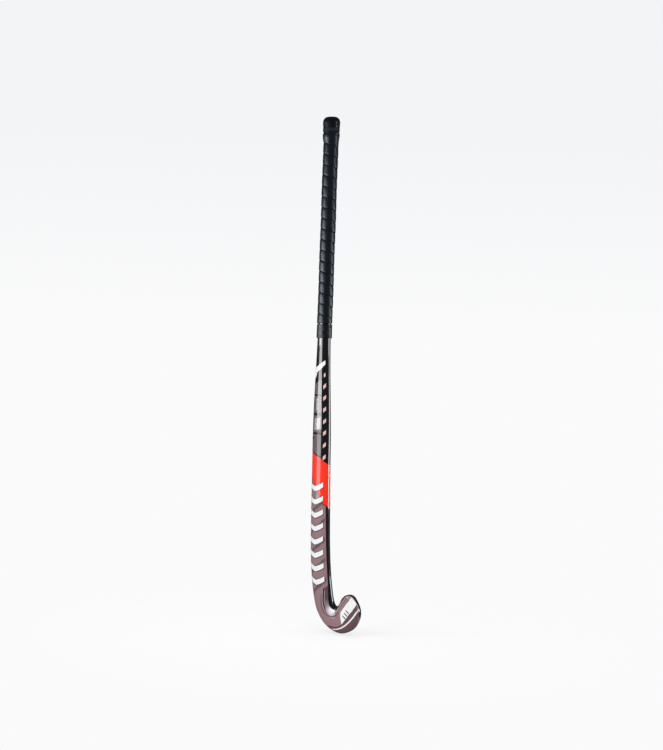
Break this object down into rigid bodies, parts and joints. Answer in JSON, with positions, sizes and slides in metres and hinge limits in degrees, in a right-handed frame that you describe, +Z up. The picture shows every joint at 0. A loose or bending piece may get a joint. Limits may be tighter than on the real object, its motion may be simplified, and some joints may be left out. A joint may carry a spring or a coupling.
{
  "type": "field hockey stick",
  "caption": "Composite field hockey stick with a curved head, rounded back, flat playing face, taped cushioned grip and rubber end cap.",
  "frame": {"origin": "under the middle of the whole stick's box, at the lowest point of the head", "axes": "+Z up along the handle, +X towards the toe of the head, +Y out of the flat playing face"},
  "size_m": [0.1132, 0.0394, 0.927],
  "materials": {
    "shell": "gloss lacquer over carbon and glass laminate, with a mauve and orange-red transfer",
    "core_laminate": "bare moulded laminate",
    "foam": "rigid foam",
    "plug": "moulded nylon",
    "cap": "glossy moulded rubber",
    "grip": "cushioned synthetic leather, satin",
    "tape": "black finishing tape"
  },
  "bodies": {
    "root": {"shaft_and_head": "shell", "core_tube_heel_side": "core_laminate", "core_tube_toe_side": "core_laminate", "head_core": "foam", "handle_filler": "foam", "end_plug": "plug", "end_cap": "cap", "grip_top_band": "tape", "grip_wrap": "grip", "finishing_tape": "tape"}
  },
  "joints": []
}
